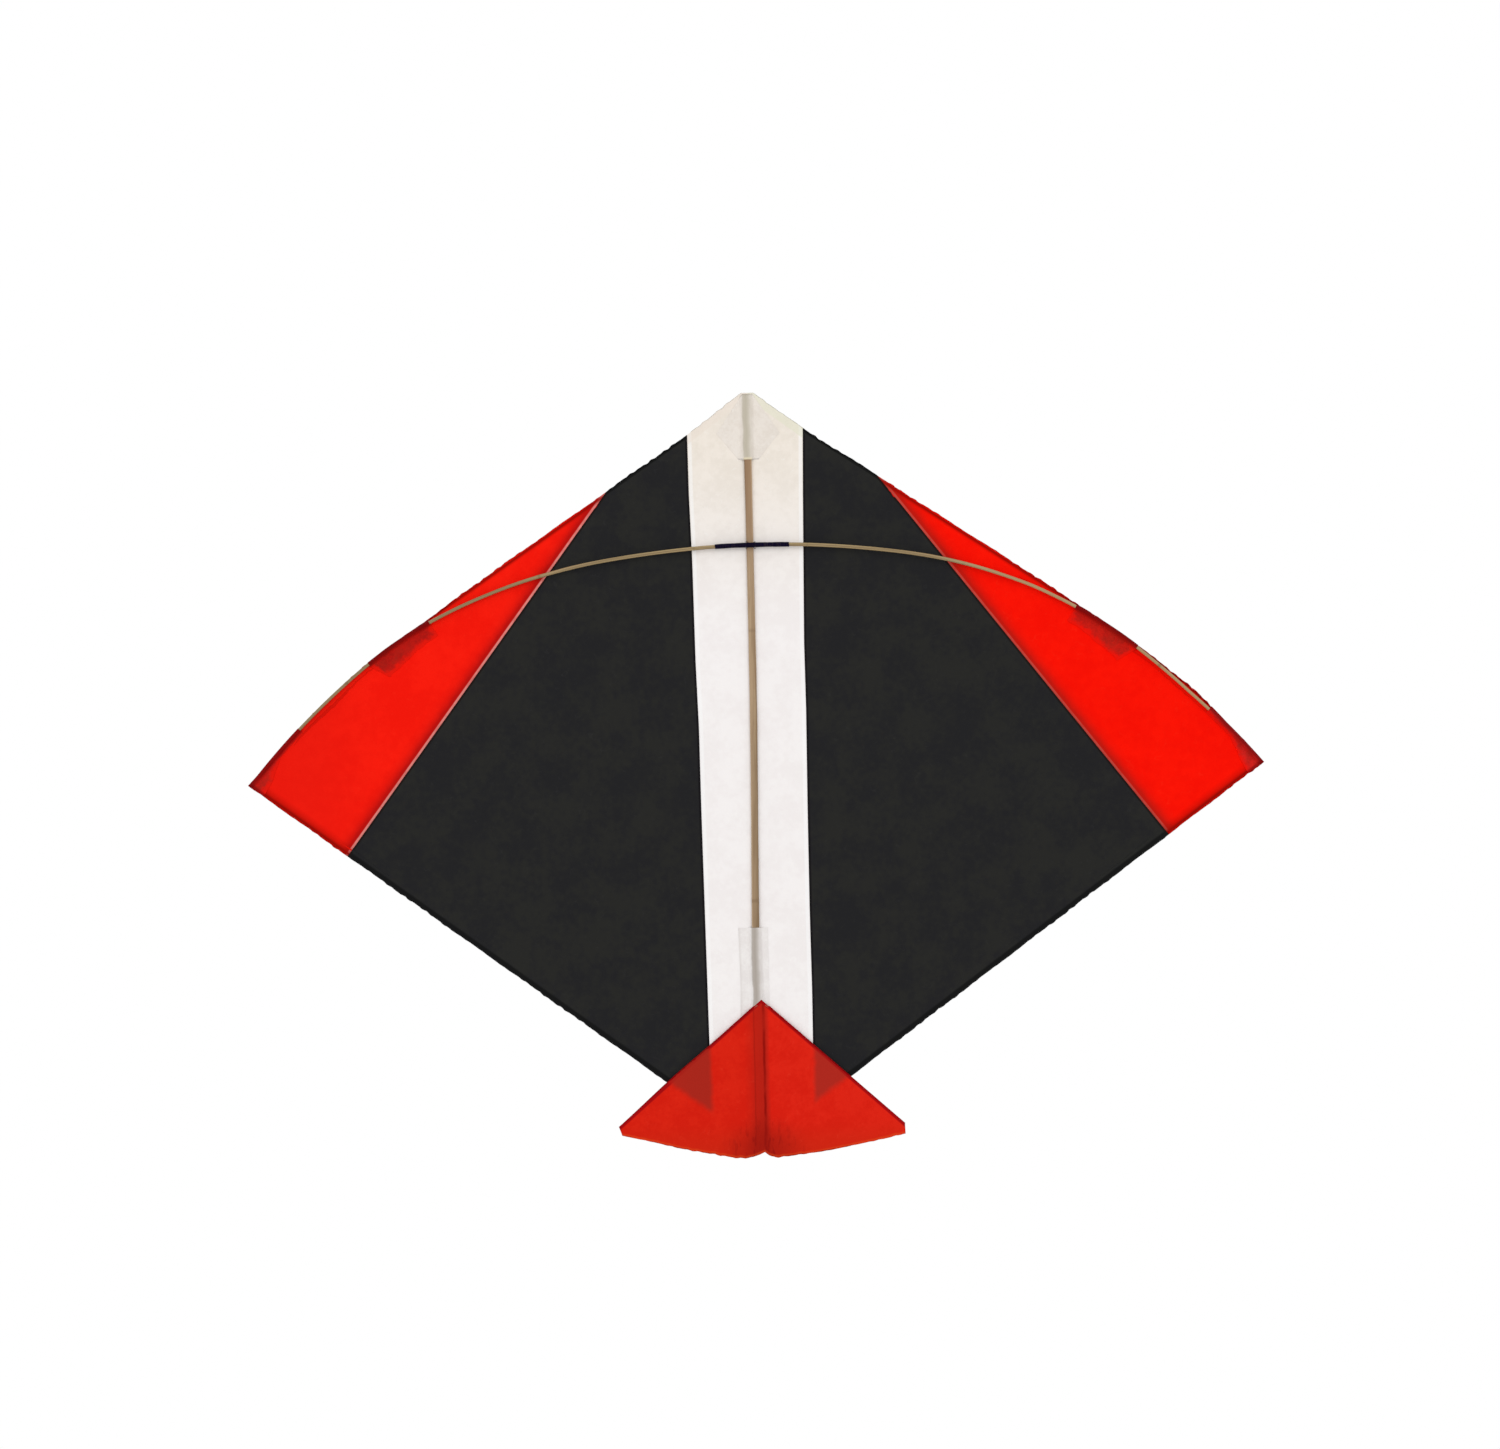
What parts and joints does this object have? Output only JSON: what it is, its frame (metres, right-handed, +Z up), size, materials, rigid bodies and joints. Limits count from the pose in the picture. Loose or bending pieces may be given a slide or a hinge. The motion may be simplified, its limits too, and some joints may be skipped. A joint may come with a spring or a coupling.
{
  "type": "fighter kite",
  "caption": "Diamond paper fighter kite with a bamboo spine, an arched bow held in folded pockets, and a splinted tail fin.",
  "frame": {"origin": "where the bow crosses the spine, on the front face of the sail, which is where the flying line pulls", "axes": "+Z up the spine to the nose, +X along the span, -Y out of the side that carries the sticks"},
  "size_m": [0.61, 0.0066, 0.4592],
  "materials": {
    "white_paper": "matt kite tissue",
    "black_paper": "matt kite tissue",
    "red_paper": "matt kite tissue",
    "red_patch_paper": "doubled kite tissue, glued",
    "fin_paper": "doubled kite tissue",
    "spine_bamboo": "split bamboo, unvarnished",
    "bow_bamboo": "shaved round bamboo, slight sheen",
    "binding_thread": "waxed cotton thread",
    "hem_thread": "cotton thread"
  },
  "bodies": {
    "centre": {"spine": "spine_bamboo", "centre_panel": "white_paper", "bow_centre": "bow_bamboo", "bow_binding": "binding_thread", "cross_lashing": "binding_thread", "nose_patch": "white_paper", "lower_spine_patch": "white_paper", "tail_fin": "fin_paper", "fin_splint_left": "bow_bamboo", "fin_splint_right": "bow_bamboo", "hem_thread_centre": "hem_thread"},
    "left_wing": {"black_panel_left": "black_paper", "tip_panel_left": "red_paper", "bow_limb_left": "bow_bamboo", "bow_patch_left": "red_patch_paper", "tip_pocket_left": "red_patch_paper", "hem_thread_left": "hem_thread"},
    "right_wing": {"black_panel_right": "black_paper", "tip_panel_right": "red_paper", "bow_limb_right": "bow_bamboo", "bow_patch_right": "red_patch_paper", "tip_pocket_right": "red_patch_paper", "hem_thread_right": "hem_thread"}
  },
  "joints": [
    {"name": "left_wing_flex", "type": "hinge", "parent": "centre", "child": "left_wing", "pos_m": [-0.0348, 0.0003, 0.06854], "axis": [0.0098, 0, -1], "range_deg": [0, 18], "stiffness_Nm_per_rad": 0.25},
    {"name": "right_wing_flex", "type": "hinge", "parent": "centre", "child": "right_wing", "pos_m": [0.0348, 0.0003, 0.06854], "axis": [0.0098, 0, 1], "range_deg": [0, 18], "stiffness_Nm_per_rad": 0.25}
  ]
}
